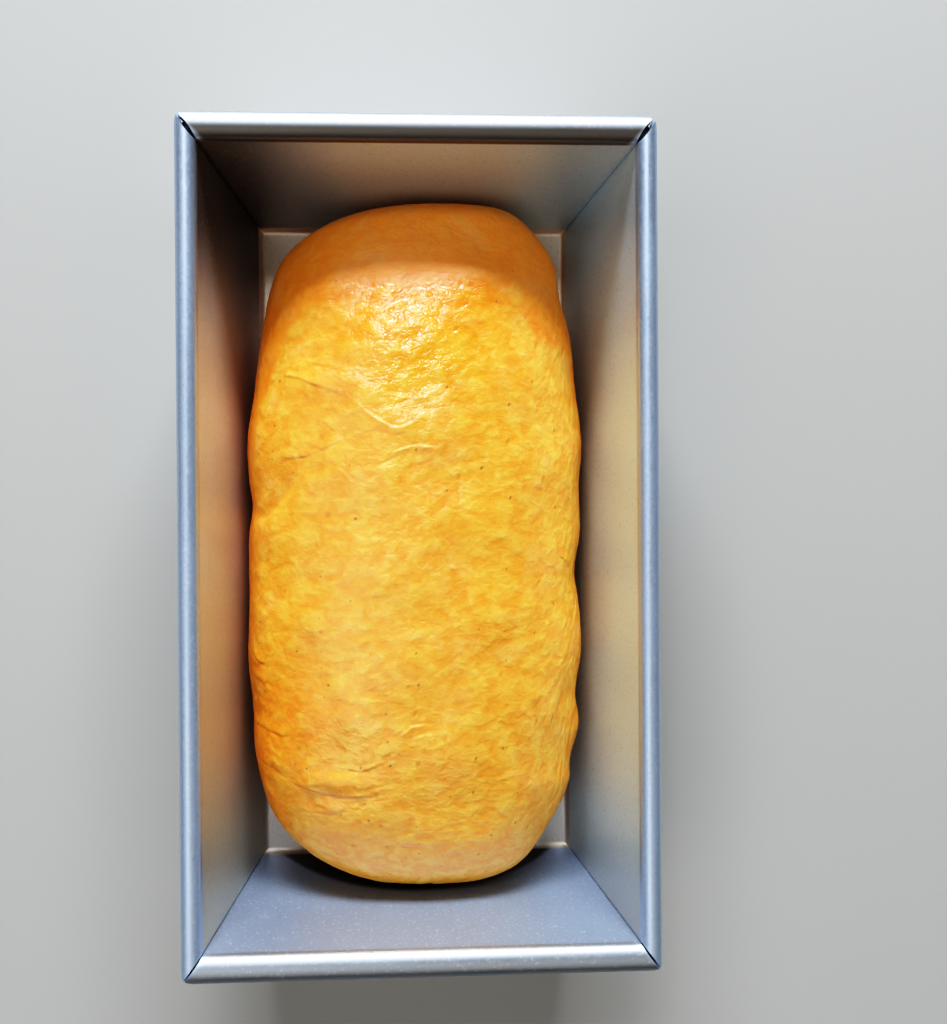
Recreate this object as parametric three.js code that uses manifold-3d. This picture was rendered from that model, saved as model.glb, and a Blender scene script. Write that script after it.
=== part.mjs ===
// A loaf of raw pumpkin yeast dough, shaped and resting in its folded steel loaf tin.
// Millimetres. +X runs across the tin, +Y along it, +Z up, and the tin stands on z = 0.

import * as THREE from 'three';
import { mergeVertices } from 'three/addons/utils/BufferGeometryUtils.js';
import Module from 'manifold-3d';

const wasm = await Module();
wasm.setup();

// Driving dimensions of the tin, folded from one sheet
const TIN_HEIGHT = 70;
const SHEET = 0.8;
const FLOOR_WIDTH = 99.2;
const FLOOR_LENGTH = 202.4;
const WALL_LEAN = THREE.MathUtils.degToRad(10.35);
const FOLD_RADIUS = 2;
const CORNER_RADIUS = 1;

// The rim is the top of each wall rolled outwards over a wire, wider on the two ends
const BEAD_HEIGHT = 6;
const SIDE_BEAD = 6;
const END_BEAD = 8;
const BEAD_SINK = 0.05;
const WALL_INTO_BEAD = 0.4;
const RIM_CORNER_RADIUS = 3.2;
const FAR_MITRE_GAP = 1.1;
const NEAR_MITRE_GAP = 0.5;

// The line down each inside corner where the sheet is folded, and the flap it makes outside
const SEAM_WIDTH = 0.3;
const SEAM_DEPTH = 0.35;
const FLAP_REACH = 50;
const FLAP_FOOT = 4;
const FLAP_SHEETS = 2;
const FLAP_TIP = 0.2;

// Driving dimensions of the dough
const LOAF_LENGTH = 208.6;
const LOAF_WIDTH = 102.2;
const LOAF_TOP = 55.6;
const LOAF_WAIST = 26;
const LOAF_DEPTH_BELOW_WAIST = 30;
const LOAF_OFFSET_X = -0.5;
const LOAF_OFFSET_Y = -0.35;
const DOUGH_CLEARANCE = 0.3;

// Squareness powers: 2 is an ellipse, and more is squarer
const FAR_END_PLAN = 3.35;
const NEAR_END_PLAN = 3.3;
const CROWN_ALONG = 3;
const FOOT_ALONG = 2.8;
const CROWN_ACROSS = 2.25;
const FOOT_ACROSS = 3;
const FAR_TIP_DRIFT = 9;
const NEAR_TIP_DRIFT = 5;
const TIP_DRIFT_POWER = 12;

// Folds and wrinkles in the skin: where each lies, how it bends, its stretch and its relief
const TUCK_FOLD = {
  x: -21.5, y: -73.6, bend: 0.018, from: -34, to: -12, lip: 1.1, lipAt: 3.2, depth: 1.3,
};
const LESSER_FOLD = {
  x: -19, y: -66.2, bend: 0.03, from: -24, to: -9, lip: 0.4, lipAt: 3, depth: 0.6,
};
const WAVY_WRINKLE = {
  x: -14.5, y: 41, swing: 8, steepness: 6, from: -36, to: 3,
  curlFrom: -5, curl: 0.12, height: 0.7, hollow: 0.5, hollowAt: 5,
};
const SIDE_CREASE = { x: -46, y: 16, slope: 0.75, from: -54, to: -38, depth: 0.8 };
const PRESSED_HOLLOW = { x: -32, from: -68, to: -38, width: 6, depth: 0.7 };

// Where each long edge swells out against the tin, or pulls in, and how far along it
const RIGHT_EDGE = [
  { y: 28, out: 0.5, spread: 9 },
  { y: -9, out: -1.4, spread: 8 },
  { y: -27, out: 0.5, spread: 9 },
  { y: -46, out: -0.7, spread: 7 },
  { y: -73, out: 1.1, spread: 2.6 },
];
const LEFT_EDGE = [
  { y: 64, out: -1.3, spread: 17 },
  { y: 26, out: 0.6, spread: 12 },
  { y: 10, out: -0.9, spread: 5 },
  { y: -30, out: 0.5, spread: 12 },
  { y: -66, out: 1.5, spread: 19 },
];

// The slight unevenness left by rolling the loaf up by hand, as two crossing swells
const LUMP_HEIGHT = 0.32;
const SWELL_HEIGHT = 0.25;

// How finely the curved surfaces are cut up
const BEAD_SIDES = 28;
const CORNER_STEPS = 4;
const FOLD_STEPS = 4;
const DOUGH_AROUND = 60;
const DOUGH_ALONG = 78;

// Sizes that follow from the ones above
const BEAD_CENTRE_Z = TIN_HEIGHT - BEAD_HEIGHT / 2;
const LEAN_COS = Math.cos(WALL_LEAN);
const LEAN_SIN = Math.sin(WALL_LEAN);
const INNER_X = FLOOR_WIDTH / 2;
const INNER_Y = FLOOR_LENGTH / 2;

// How far a wall's inside has leaned out from the floor's edge at a height
const leanAt = (z) => (z - SHEET) * Math.tan(WALL_LEAN);

// From the floor's edge to the middle of a bead whose curve runs on from the wall's inside
function beadOffset(width) {
  const reach = Math.hypot(width / 2 * LEAN_COS, BEAD_HEIGHT / 2 * LEAN_SIN);
  return leanAt(BEAD_CENTRE_Z) + (reach - BEAD_SINK) / LEAN_COS;
}

const SIDE_BEAD_X = INNER_X + beadOffset(SIDE_BEAD);
const END_BEAD_Y = INNER_Y + beadOffset(END_BEAD);
const RIM_X = SIDE_BEAD_X + SIDE_BEAD / 2;
const RIM_Y = END_BEAD_Y + END_BEAD / 2;

function toSolid(geometry) {
  const bare = geometry.clone();
  bare.deleteAttribute('normal');
  bare.deleteAttribute('uv');
  const joined = mergeVertices(bare, 1e-4);
  return new wasm.Manifold(new wasm.Mesh({
    numProp: 3,
    vertProperties: Float32Array.from(joined.attributes.position.array),
    triVerts: Uint32Array.from(joined.index.array),
  }));
}

function toGeometry(solid) {
  const mesh = solid.getMesh();
  const geometry = new THREE.BufferGeometry();
  geometry.setAttribute('position', new THREE.BufferAttribute(mesh.vertProperties, 3));
  geometry.setIndex(new THREE.BufferAttribute(mesh.triVerts, 1));
  geometry.computeVertexNormals();
  return geometry;
}

// The tin's sheet

// Half of the tray's section: underside, out round the fold, up the wall, and back down inside
function traySection() {
  const foldX = FOLD_RADIUS * (LEAN_SIN - 1) / LEAN_COS;
  const foldZ = SHEET + FOLD_RADIUS;
  const wallTop = BEAD_CENTRE_Z + WALL_INTO_BEAD;
  const wallRise = wallTop - foldZ + FOLD_RADIUS * LEAN_SIN;
  const fold = (radius) => {
    const points = [];
    for (let i = 0; i <= FOLD_STEPS; i++) {
      const angle = THREE.MathUtils.lerp(-Math.PI / 2, -WALL_LEAN, i / FOLD_STEPS);
      const x = foldX + radius * Math.cos(angle);
      points.push(new THREE.Vector2(x, foldZ + radius * Math.sin(angle)));
    }
    const end = points[FOLD_STEPS];
    points.push(new THREE.Vector2(end.x + wallRise * Math.tan(WALL_LEAN), end.y + wallRise));
    return points;
  };
  const outside = fold(FOLD_RADIUS + SHEET);
  const inside = fold(FOLD_RADIUS).reverse();
  return { outside, inside };
}

// A point on the rounded rectangle that lies a distance outside the floor's edge
function rectanglePoint(offset, radius, corner, step) {
  const angle = (corner + step / CORNER_STEPS) * Math.PI / 2;
  const sideX = corner === 0 || corner === 3 ? 1 : -1;
  const sideY = corner < 2 ? 1 : -1;
  return new THREE.Vector2(
    sideX * (INNER_X + offset - radius) + radius * Math.cos(angle),
    sideY * (INNER_Y + offset - radius) + radius * Math.sin(angle),
  );
}

// A lathe of the section, with each ring then squared up to the tin's plan
function makeTray() {
  const { outside, inside } = traySection();
  const middle = new THREE.Vector2(0, 0);
  const section = [middle, ...outside, ...inside, new THREE.Vector2(0, SHEET)];
  const stops = CORNER_STEPS + 1;
  const geometry = new THREE.LatheGeometry(section, 4 * stops);
  const position = geometry.attributes.position;
  for (let i = 0; i < position.count; i++) {
    const row = i % section.length;
    const ring = Math.floor(i / section.length) % (4 * stops);
    const onAxis = row === 0 || row === section.length - 1;
    const radius = row <= outside.length ? CORNER_RADIUS + SHEET : CORNER_RADIUS;
    const corner = Math.floor(ring / stops);
    const plan = onAxis ? middle : rectanglePoint(section[row].x, radius, corner, ring % stops);
    position.setXYZ(i, plan.x, plan.y, section[row].y);
  }
  return toSolid(geometry);
}

// The rim

// A bead's oval section about its middle, with x outwards from the tin
function beadShape(width) {
  const points = [];
  for (let i = 0; i < BEAD_SIDES; i++) {
    const angle = 2 * Math.PI * (i + 0.5) / BEAD_SIDES;
    points.push(new THREE.Vector2(width / 2 * Math.cos(angle), BEAD_HEIGHT / 2 * Math.sin(angle)));
  }
  return new THREE.Shape(points);
}

// A bead along +Y whose ends are cut on the mitre; the gap opens each end away from the cut
function mitredBead(width, otherWidth, halfLength, plusGap, minusGap) {
  const geometry = new THREE.ExtrudeGeometry(beadShape(width), {
    depth: 1, steps: 1, bevelEnabled: false,
  });
  const position = geometry.attributes.position;
  const slope = otherWidth / width;
  const stretch = Math.hypot(1, slope) / 2;
  for (let i = 0; i < position.count; i++) {
    const across = position.getX(i);
    const up = position.getY(i);
    const end = position.getZ(i) > 0.5 ? 1 : -1;
    const gap = end > 0 ? plusGap : minusGap;
    position.setXYZ(i, across, -end * (halfLength + slope * across - gap * stretch), up);
  }
  return geometry;
}

function makeRim() {
  const sideHalf = END_BEAD_Y;
  const endHalf = SIDE_BEAD_X;
  const right = mitredBead(SIDE_BEAD, END_BEAD, sideHalf, NEAR_MITRE_GAP, FAR_MITRE_GAP);
  right.translate(SIDE_BEAD_X, 0, BEAD_CENTRE_Z);
  const left = mitredBead(SIDE_BEAD, END_BEAD, sideHalf, FAR_MITRE_GAP, NEAR_MITRE_GAP);
  left.rotateZ(Math.PI).translate(-SIDE_BEAD_X, 0, BEAD_CENTRE_Z);
  const far = mitredBead(END_BEAD, SIDE_BEAD, endHalf, FAR_MITRE_GAP, FAR_MITRE_GAP);
  far.rotateZ(Math.PI / 2).translate(0, END_BEAD_Y, BEAD_CENTRE_Z);
  const near = mitredBead(END_BEAD, SIDE_BEAD, endHalf, NEAR_MITRE_GAP, NEAR_MITRE_GAP);
  near.rotateZ(-Math.PI / 2).translate(0, -END_BEAD_Y, BEAD_CENTRE_Z);
  let rim = toSolid(right);
  for (const bead of [left, far, near]) {
    rim = rim.add(toSolid(bead));
  }
  return rim.intersect(toSolid(roundedBlock()));
}

// A block with the plan of the rim, which rounds the rim's outer corners
function roundedBlock() {
  const shape = new THREE.Shape();
  const x = RIM_X - RIM_CORNER_RADIUS;
  const y = RIM_Y - RIM_CORNER_RADIUS;
  const quarter = Math.PI / 2;
  shape.absarc(x, y, RIM_CORNER_RADIUS, 0, quarter);
  shape.absarc(-x, y, RIM_CORNER_RADIUS, quarter, 2 * quarter);
  shape.absarc(-x, -y, RIM_CORNER_RADIUS, 2 * quarter, 3 * quarter);
  shape.absarc(x, -y, RIM_CORNER_RADIUS, 3 * quarter, 4 * quarter);
  const block = new THREE.ExtrudeGeometry(shape, {
    depth: 2 * BEAD_HEIGHT, bevelEnabled: false, curveSegments: 5,
  });
  return block.translate(0, 0, TIN_HEIGHT - 1.5 * BEAD_HEIGHT);
}

// The folded corners

// The two flaps of doubled sheet that lie folded against an end wall, thinning to their tips
function makeFlaps(turn) {
  const top = BEAD_CENTRE_Z - SHEET;
  const edgeAt = (z) => INNER_X + leanAt(z) + SHEET / LEAN_COS - CORNER_RADIUS / 2;
  const upWall = (z) => (z - SHEET) / LEAN_COS;
  const shapes = [-1, 1].map((side) => new THREE.Shape([
    new THREE.Vector2(side * edgeAt(FLAP_FOOT), upWall(FLAP_FOOT)),
    new THREE.Vector2(side * edgeAt(top), upWall(top)),
    new THREE.Vector2(side * (edgeAt(top) - FLAP_REACH), upWall(top)),
  ]));
  const flaps = new THREE.ExtrudeGeometry(shapes, {
    depth: (FLAP_SHEETS + 0.5) * SHEET, bevelEnabled: false,
  });
  const corners = flaps.attributes.position;
  for (let i = 0; i < corners.count; i++) {
    if (corners.getY(i) < upWall(FLAP_FOOT + SHEET)) {
      corners.setZ(i, Math.min(corners.getZ(i), SHEET / 2 + FLAP_TIP));
    }
  }
  const wall = new THREE.Matrix4().makeBasis(
    new THREE.Vector3(-1, 0, 0),
    new THREE.Vector3(0, LEAN_SIN, LEAN_COS),
    new THREE.Vector3(0, LEAN_COS, -LEAN_SIN),
  );
  wall.setPosition(0, INNER_Y + SHEET / 2 * LEAN_COS, SHEET);
  flaps.applyMatrix4(wall);
  return toSolid(flaps.rotateZ(turn));
}

// A thin cut down the inside of one corner, where the two walls are folded together
function makeSeam(sideX, sideY) {
  const foot = new THREE.Vector3(sideX * INNER_X, sideY * INNER_Y, SHEET);
  const head = foot.clone();
  head.x += sideX * leanAt(BEAD_CENTRE_Z);
  head.y += sideY * leanAt(BEAD_CENTRE_Z);
  head.z = BEAD_CENTRE_Z;
  const run = head.clone().sub(foot);
  const cut = new THREE.BoxGeometry(SEAM_WIDTH, 2 * SEAM_DEPTH, run.length() - 2 * FOLD_RADIUS);
  const along = run.clone().normalize();
  const across = new THREE.Vector3(-sideY, sideX, 0).normalize();
  const outward = new THREE.Vector3().crossVectors(along, across);
  const inset = CORNER_RADIUS * (Math.SQRT2 - 1);
  const middle = foot.clone().add(head).multiplyScalar(0.5);
  middle.x -= sideX * inset / Math.SQRT2;
  middle.y -= sideY * inset / Math.SQRT2;
  const place = new THREE.Matrix4().makeBasis(across, outward, along).setPosition(middle);
  return toSolid(cut.applyMatrix4(place));
}

function makeTin() {
  let tin = makeTray().add(makeRim());
  tin = tin.add(makeFlaps(0)).add(makeFlaps(Math.PI));
  for (const [sideX, sideY] of [[1, 1], [-1, 1], [-1, -1], [1, -1]]) {
    tin = tin.subtract(makeSeam(sideX, sideY));
  }
  const steel = new THREE.MeshStandardMaterial({ color: 0xb4bac4, roughness: 0.38, metalness: 0.9 });
  const mesh = new THREE.Mesh(toGeometry(tin), steel);
  mesh.name = 'tin';
  return mesh;
}

// The dough

const bell = (distance, spread) => Math.exp(-((distance / spread) ** 2));

// Fades from 1 inside a stretch to 0 beyond its ends
function within(value, low, high, soft) {
  const rise = THREE.MathUtils.smoothstep(value, low - soft, low + soft);
  return rise * (1 - THREE.MathUtils.smoothstep(value, high - soft, high + soft));
}

// A fold curved like a smile, sunk along its line, with its far lip raised
function smileFold(fold, x, y) {
  const off = y - fold.y - fold.bend * (x - fold.x) ** 2;
  const lip = fold.lip * bell(off - fold.lipAt, 2.6);
  return within(x, fold.from, fold.to, 3) * (lip - fold.depth * bell(off, 1.8));
}

// A long wrinkle that swings across the crown and curls up, with a hollow beyond it
function wavyWrinkle(x, y) {
  const wave = WAVY_WRINKLE;
  const swing = wave.swing * Math.tanh((x - wave.x) / wave.steepness);
  const curl = wave.curl * Math.max(0, x - wave.curlFrom) ** 2;
  const off = y - (wave.y - swing + curl);
  const relief = wave.height * bell(off, 2.2) - wave.hollow * bell(off - wave.hollowAt, 3);
  return within(x, wave.from, wave.to, 4) * relief;
}

// The crease that runs in from the notch on the left edge
function sideCrease(x, y) {
  const crease = SIDE_CREASE;
  const off = y - crease.y - crease.slope * (x - crease.x);
  return -crease.depth * within(x, crease.from, crease.to, 4) * bell(off, 2.8);
}

// A shallow lengthwise hollow left of the middle
function pressedHollow(x, y) {
  const hollow = PRESSED_HOLLOW;
  return -hollow.depth * within(y, hollow.from, hollow.to, 6) * bell(x - hollow.x, hollow.width);
}

function edgeSwell(side, y) {
  const marks = side > 0 ? RIGHT_EDGE : LEFT_EDGE;
  return marks.reduce((sum, mark) => sum + mark.out * bell(y - mark.y, mark.spread), 0);
}

function lumps(x, y) {
  const lump = Math.sin(x / 5.1 + y / 9.7) * Math.sin(y / 6.3 - x / 11);
  return LUMP_HEIGHT * lump + SWELL_HEIGHT * Math.sin(x / 8.3 - y / 5.2 + 1.3);
}

// How far the skin stands out at a place; sideness runs from -1 on the left edge to 1
function relief(x, y, sideness) {
  const folds = smileFold(TUCK_FOLD, x, y) + smileFold(LESSER_FOLD, x, y)
    + wavyWrinkle(x, y) + sideCrease(x, y) + pressedHollow(x, y);
  return folds + edgeSwell(sideness, y) * Math.abs(sideness) ** 3 + lumps(x, y);
}

// A quarter of an oval with a chosen squareness, from 1 at the middle to 0 at the tip
const oval = (t, power) => (1 - Math.abs(t) ** power) ** (1 / power);

// The dough's skin at a place along its length, -1 to 1, and a turn about its long axis
function doughPoint(along, turn) {
  const plan = oval(along, along > 0 ? FAR_END_PLAN : NEAR_END_PLAN);
  const cosine = Math.cos(turn);
  const sine = Math.sin(turn);
  const above = sine > 0;
  const power = above ? CROWN_ACROSS : FOOT_ACROSS;
  const push = (Math.abs(cosine) ** power + Math.abs(sine) ** power) ** (-1 / power);
  const height = above
    ? (LOAF_TOP - LOAF_WAIST) * oval(along, CROWN_ALONG)
    : LOAF_DEPTH_BELOW_WAIST * oval(along, FOOT_ALONG);
  const across = LOAF_WIDTH / 2 * plan * cosine * push;
  const rise = height * sine * push;
  const drift = along > 0 ? FAR_TIP_DRIFT : NEAR_TIP_DRIFT;
  const x = LOAF_OFFSET_X + across + drift * Math.abs(along) ** TIP_DRIFT_POWER;
  const y = LOAF_OFFSET_Y + along * LOAF_LENGTH / 2;
  const swell = relief(x, y, cosine) * plan * (above ? 1 : 1 + sine);
  const length = Math.hypot(across, rise) || 1;
  const z = LOAF_WAIST + rise + swell * rise / length;
  const floor = SHEET + DOUGH_CLEARANCE;
  return new THREE.Vector3(x + swell * across / length, y, Math.max(z, floor));
}

function makeDough() {
  const geometry = new THREE.SphereGeometry(1, DOUGH_AROUND, DOUGH_ALONG);
  const position = geometry.attributes.position;
  for (let i = 0; i < position.count; i++) {
    const turn = Math.atan2(position.getZ(i), position.getX(i));
    const along = THREE.MathUtils.clamp(position.getY(i), -1, 1);
    const point = doughPoint(along, turn);
    position.setXYZ(i, point.x, point.y, point.z);
  }
  const skin = new THREE.MeshStandardMaterial({ color: 0xf2b445, roughness: 0.42, metalness: 0 });
  const mesh = new THREE.Mesh(toGeometry(toSolid(geometry)), skin);
  mesh.name = 'dough';
  return mesh;
}

const loafInTin = new THREE.Group();
loafInTin.add(makeTin(), makeDough());

export default loafInTin;
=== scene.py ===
# A loaf of raw pumpkin yeast dough in its folded steel tin: the looks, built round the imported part.
# Metres. +X runs across the tin, +Y along it to the far end, +Z up, and the tin stands on z = 0.

import math

import bpy
from mathutils import Matrix, Vector, noise


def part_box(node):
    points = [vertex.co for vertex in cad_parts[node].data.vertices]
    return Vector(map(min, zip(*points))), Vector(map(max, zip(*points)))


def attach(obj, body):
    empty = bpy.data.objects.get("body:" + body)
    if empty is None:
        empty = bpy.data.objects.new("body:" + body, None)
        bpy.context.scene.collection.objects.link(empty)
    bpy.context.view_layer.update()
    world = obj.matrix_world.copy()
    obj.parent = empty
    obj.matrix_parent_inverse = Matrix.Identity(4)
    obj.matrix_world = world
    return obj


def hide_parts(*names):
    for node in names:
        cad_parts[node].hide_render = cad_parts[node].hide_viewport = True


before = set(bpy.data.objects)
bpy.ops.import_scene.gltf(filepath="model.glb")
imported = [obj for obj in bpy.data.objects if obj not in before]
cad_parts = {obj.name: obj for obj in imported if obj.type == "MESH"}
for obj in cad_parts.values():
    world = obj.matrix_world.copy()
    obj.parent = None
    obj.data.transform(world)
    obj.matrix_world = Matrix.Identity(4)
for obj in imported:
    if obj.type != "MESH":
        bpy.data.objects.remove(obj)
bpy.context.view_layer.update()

MM = 0.001

# The tin's sheet, its floor inside and the lean of its walls
SHEET = 0.8 * MM
FLOOR_X = 49.6 * MM
FLOOR_Y = 101.2 * MM
FOLD_RADIUS = 2 * MM
WALL_LEAN = math.radians(10.35)
FOLD_SETBACK = FOLD_RADIUS * (1 - math.sin(WALL_LEAN)) / math.cos(WALL_LEAN)

# The rim rolled outwards over a wire, wider on the two ends
BEAD_HALF_HEIGHT = 3 * MM
SIDE_BEAD_HALF = 3 * MM
END_BEAD_HALF = 4 * MM
ROLL_TURN = math.radians(296)
JOINED_HEIGHT = 66 * MM

# How finely the sheet is cut up
FLOOR_ROWS = 8
FOLD_ROWS = 5
WALL_ROWS = 14
ROLL_ROWS = 28
SIDE_COLUMNS = 64
END_COLUMNS = 48
COLUMN_CROWDING = 1.7

# The lips of the sheet where two walls are pinched together at a corner: reach and depth
LIPS = {
    (-1, 1): (1.1 * MM, 0.6 * MM),
    (1, 1): (0.8 * MM, 0.5 * MM),
    (-1, -1): (0.7 * MM, 0.4 * MM),
    (1, -1): (0.6 * MM, 0.35 * MM),
}

# How far each mitre of the rim stands open: at its inner end, its middle and its outer end
MITRE_GAPS = {
    (-1, 1): (0.25 * MM, 1.35 * MM, 0.45 * MM),
    (1, 1): (0.15 * MM, 1.5 * MM, 0.5 * MM),
    (-1, -1): (0.3 * MM, 0.5 * MM, 0.35 * MM),
    (1, -1): (0.35 * MM, 0.6 * MM, 0.4 * MM),
}
RIM_CORNER_RADIUS = {(-1, 1): 3.4 * MM, (1, 1): 3.8 * MM, (-1, -1): 4 * MM, (1, -1): 3.2 * MM}

# The wire inside the rim, oval in its end runs
WIRE_RADIUS = 1.9 * MM
WIRE_BEND = 2.4 * MM
WIRE_SIDES = 14
WIRE_FLATTENING = 0.45
FLATTENED_PAST = (-6 * MM, -2 * MM)
BEND_STEPS = 8

# The sheet is not quite flat
WAVE_HEIGHT = 0.16 * MM
WAVE_LENGTH = 46 * MM
WAVE_START = Vector((3.1, 0.7, 1.9))
FLAT_BY_FLOOR_EDGE = 12 * MM
FLAT_BY_WALL_EDGE = 14 * MM
FLAT_ABOVE_FLOOR = 12 * MM
FLAT_BELOW_RIM = 9 * MM

# The flaps that the folded corners leave against the outside of the end walls
FLAP_REACH = 50 * MM
FLAP_FOOT = 4 * MM
FLAP_TOP = 66 * MM
FLAP_THICKNESS = 1.6 * MM
FLAP_ROUNDING = 0.55 * MM
FLAP_SINK = 0.4

# Points this close are one point, and a step this small is no height or reach at all
SAME_POINT = 0.01 * MM
HAIR = 0.1 * MM

# The sharpest bend that is still shaded smooth, in degrees
SHARPEST_SMOOTH = 38

# The dough: its waist, and how finely its skin is cut up
WAIST = 26 * MM
FINE_ABOVE = 33 * MM
SMOOTHING_TURNS = 6

# Its skin laid out flat, in millimetres: its oval section, the arc over it and its ends
SECTION_HALF = 51
SECTION_RISE = 29.6
SECTION_ARC = 46
END_SHOULDER = 62
END_BOW = 0.009

# How crisp the edge of an overlap is, and how far small faces reach round it, in millimetres
EDGE_SHARPNESS = 0.5
FINE_REACH = 2
MARK_REACH = 9

# Waves in the skin laid flat: how wide and how long they are, in millimetres, and their seed
DRIFT = (11, 11, 5.5)
SWAY = (8, 8, 15.5)
STREAK = (6, 3.2, 1.3)
FINE = (2.8, 1.6, 7.7)
CURL = (2.2, 2, 2.2)
LUMP = (6.5, 6, 4.2)
PATCH = (11, 12, 24.2)
BROAD = (20, 26, 9.1)
WANDER = (10, 10, 31.7)
FOLD_FADE = (4, 4, 3.3)

# Heights of the ripple and the lumps of the skin, in millimetres
STREAK_HEIGHT = 0.17
STREAK_MORE_ON_FLANKS = 0.06
STREAK_MORE_ON_RIGHT = 0.05
FINE_HEIGHT = 0.07
FINE_MORE_ON_RIGHT = 0.08
CURL_HEIGHT = 0.07
RIPPLE_SINK = 0.05
CURL_SINK = 0.02
LUMP_HEIGHT = 0.07
LUMP_MORE_LOWER_LEFT = 0.15
LUMP_MORE_WHERE_WET = 0.26
PATCH_HEIGHT = 0.13
BROAD_HEIGHT = 0.2

# Where the relief starts above the foot of the dough
RELIEF_FROM = (18, 27)

# Painted shadow of the far wall on the far end: how far its arch lies out, how it falls to the sides
CAP_ARCH = 79
CAP_FALL = 0.04
CAP_FLAT_HALF = 18
CAP_EDGE = (-5.5, 3.5)

# The wet patch, and the wetter band down the left half: middle, half width and half length
WET_AT = (-1, 60)
WET_HALF = (23, 24)
BAND_AT = -20
BAND_HALF = 7
BAND_SHARE = 0.35

# Colours
GOLDEN_DOUGH = (0.94, 0.485, 0.064, 1)
# Pale: the pale spots, and the painted highlight of the pale band
PALE_AND_HIGHLIGHT_DOUGH = (0.96, 0.56, 0.115, 1)
# Brighter near end: painted light standing in for light thrown back from the near wall
LIT_NEAR_DOUGH = (1.0, 0.5, 0.085, 1)
# Deep orange: partly the dough's own colour, partly painted shade
ORANGE_AND_SHADED_DOUGH = (1.0, 0.35, 0.02, 1)
PEACH_DOUGH = (0.91, 0.46, 0.13, 1)
# Film tones: a real tone that varies at random, with painted shade in the hollows of the relief and
# painted light on its crests
THIN_FILM_AND_HOLLOW_SHADE = (0.97, 0.8, 0.48, 1)
THICK_FILM_AND_CREST_LIGHT = (1.02, 1.12, 1.3, 1)
OCHRE_FLECK = (0.86, 0.38, 0.03, 1)
# Painted shade along the creases of the overlaps and furrows
CREASE_SHADE_BROWN = (0.5, 0.17, 0.012, 1)
SPECK_BROWN = (0.34, 0.16, 0.025, 1)
SPOT_ORANGE = (0.72, 0.28, 0.015, 1)
WALL_STEEL = (0.74, 0.77, 0.82, 1)
WALL_STEEL_CLOUD = (0.79, 0.82, 0.87, 1)
# Painted light and shade: copies of the wall steel for the far, right and left walls, lighter or
# darker by how light falls on each
LIT_FAR_STEEL = (0.74, 0.88, 0.96, 1)
LIT_RIGHT_STEEL = (0.75, 0.91, 1.0, 1)
SHADED_LEFT_STEEL = (0.66, 0.66, 0.58, 1)
SHADED_STEEL = (0.5, 0.47, 0.43, 1)
RIM_STEEL = (0.56, 0.67, 0.84, 1)
# Painted shade: the end rims darker than the side rims, so their highlights are held back
SHADED_END_RIM_STEEL = (0.46, 0.5, 0.56, 1)
# Painted reflection: the dark room seen in the inner half of the far rim
DARK_REFLECTION_RIM_STEEL = (0.2, 0.185, 0.17, 1)
FLOOR_STEEL = (0.66, 0.61, 0.55, 1)
# Painted light: the far floor lightened where it lies in shade
LIT_FAR_FLOOR_STEEL = (0.98, 0.86, 0.72, 1)
# Painted reflection: the near wall darker and bluer, as the sky seen in it
SKY_TINTED_NEAR_STEEL = (0.4, 0.49, 0.66, 1)
# Painted shade in the far corners
CORNER_SHADE_STEEL = (0.16, 0.12, 0.09, 1)
# Painted shadow: under the near end of the dough, and in the mitre gaps over the wire
SHADOW_STEEL = (0.05, 0.05, 0.055, 1)
STEEL_GLINT = (0.9, 0.92, 0.95, 1)
STEEL_SHADE = (0.4, 0.42, 0.47, 1)
DAYLIGHT = (0.88, 0.94, 1.0)
LAMPLIGHT = (1.0, 0.9, 0.78)
ROOM_TONE = (1.0, 0.9, 0.8, 1)
FLOOR_TONE = (0.46, 0.45, 0.43, 1)
FLOOR_TONE_CLOUD = (0.49, 0.48, 0.46, 1)

# Where the tones of the skin set in: from and to in a pattern or along it, and how strong
# The film tones follow the relief: painted shade in its hollows, painted light on its crests
FILM_TONES = {
    "patch": (0.36, 0.64, 0.75), "blot": (0.34, 0.66, 0.38), "ripple": (-0.04, 0.1, 0.4),
}
PEACH_CLOUDS = (0.48, 0.66, 0, 0.36)
FLECKS = (0.38, 0.3, 0, 0.6)
# How the painted shade of the creases sets in
CREASE_SHADE_TONES = (0.03, 0.45, 0, 0.8)
# Painted light: where the near end is brightened
NEAR_END_LIGHT = (-78, -106, 0, 0.8)

# Dots on the skin: how close together, how many are left out, the largest, and their colour
SKIN_DOTS = ((0.083, 0.3, 0.1, SPOT_ORANGE), (0.12, 0.45, 0.075, SPECK_BROWN))

# The shine and the finest relief of the skin
DOUGH_ROUGHNESS = (0.34, 0.42)
WET_SHINE = 0.2
CALM_DULLNESS = 0.25
DOUGH_IOR = 1.6
DOUGH_SPECULAR = 0.85
DOUGH_GLOW = 0.25
GLOW_REACH = (1.0, 0.42, 0.12)
GLOW_SIZE = 2.5 * MM
PATCH_RELIEF = 0.34 * MM
BLOT_RELIEF = 0.28 * MM
WRINKLE_RELIEF = 0.26 * MM
GRAIN_RELIEF = 0.02 * MM
SOFTER_ON_LEFT = (-48, 0, 0.55, 1.0)
DRY_WRINKLES = (-45, 5, 0.08, 0.42)
WET_WRINKLES = (0.1, 0.9, 0.0, 0.65)

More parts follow.
